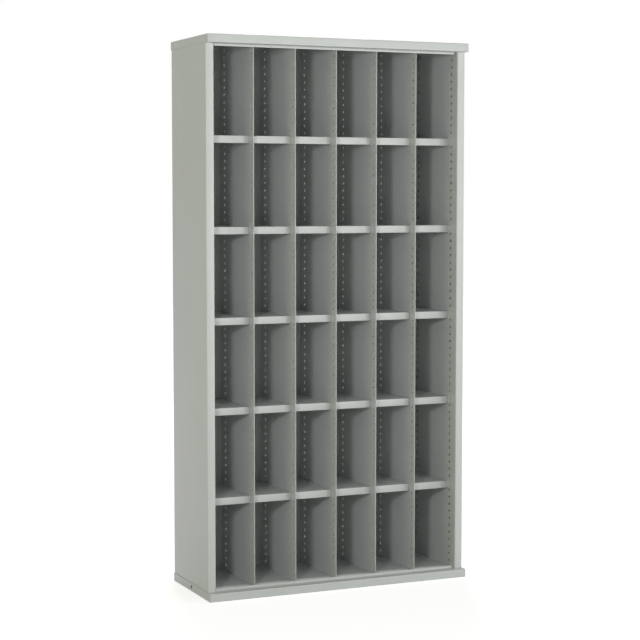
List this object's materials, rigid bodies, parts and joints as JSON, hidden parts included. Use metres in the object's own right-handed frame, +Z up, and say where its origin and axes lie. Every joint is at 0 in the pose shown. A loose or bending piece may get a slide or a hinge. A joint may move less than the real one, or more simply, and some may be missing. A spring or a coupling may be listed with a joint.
{
  "type": "bin cabinet",
  "caption": "Tall open steel pigeonhole bin cabinet: folded-sheet carcass with a projecting cap and plinth, studded dividers and a lipped pan shelf in every bay.",
  "frame": {"origin": "centre of the footprint, on the floor", "axes": "+Z up, front towards -Y, +X to the right seen from the front"},
  "size_m": [0.937, 0.355, 1.82],
  "materials": {
    "carcass_coat": "light grey semi-gloss powder coat",
    "divider_coat": "light grey semi-gloss powder coat",
    "shelf_coat": "light grey semi-gloss powder coat"
  },
  "bodies": {
    "root": {"back_panel": "carcass_coat", "base_plinth": "carcass_coat", "bottom_cleat_1": "divider_coat", "bottom_cleat_2": "divider_coat", "bottom_cleat_3": "divider_coat", "bottom_cleat_4": "divider_coat", "bottom_cleat_5": "divider_coat", "bottom_front_rail": "carcass_coat", "divider_1": "divider_coat", "divider_2": "divider_coat", "divider_3": "divider_coat", "divider_4": "divider_coat", "divider_5": "divider_coat", "left_liner": "divider_coat", "left_side_panel": "carcass_coat", "right_liner": "divider_coat", "right_side_panel": "carcass_coat", "shelf_row1_bay1": "shelf_coat", "shelf_row1_bay2": "shelf_coat", "shelf_row1_bay3": "shelf_coat", "shelf_row1_bay4": "shelf_coat", "shelf_row1_bay5": "shelf_coat", "shelf_row1_bay6": "shelf_coat", "shelf_row2_bay1": "shelf_coat", "shelf_row2_bay2": "shelf_coat", "shelf_row2_bay3": "shelf_coat", "shelf_row2_bay4": "shelf_coat", "shelf_row2_bay5": "shelf_coat", "shelf_row2_bay6": "shelf_coat", "shelf_row3_bay1": "shelf_coat", "shelf_row3_bay2": "shelf_coat", "shelf_row3_bay3": "shelf_coat", "shelf_row3_bay4": "shelf_coat", "shelf_row3_bay5": "shelf_coat", "shelf_row3_bay6": "shelf_coat", "shelf_row4_bay1": "shelf_coat", "shelf_row4_bay2": "shelf_coat", "shelf_row4_bay3": "shelf_coat", "shelf_row4_bay4": "shelf_coat", "shelf_row4_bay5": "shelf_coat", "shelf_row4_bay6": "shelf_coat", "shelf_row5_bay1": "shelf_coat", "shelf_row5_bay2": "shelf_coat", "shelf_row5_bay3": "shelf_coat", "shelf_row5_bay4": "shelf_coat", "shelf_row5_bay5": "shelf_coat", "shelf_row5_bay6": "shelf_coat", "shelf_row6_bay1": "shelf_coat", "shelf_row6_bay2": "shelf_coat", "shelf_row6_bay3": "shelf_coat", "shelf_row6_bay4": "shelf_coat", "shelf_row6_bay5": "shelf_coat", "shelf_row6_bay6": "shelf_coat", "top_cap": "carcass_coat", "top_cleat_1": "divider_coat", "top_cleat_2": "divider_coat", "top_cleat_3": "divider_coat", "top_cleat_4": "divider_coat", "top_cleat_5": "divider_coat", "top_front_rail": "carcass_coat"}
  },
  "joints": []
}
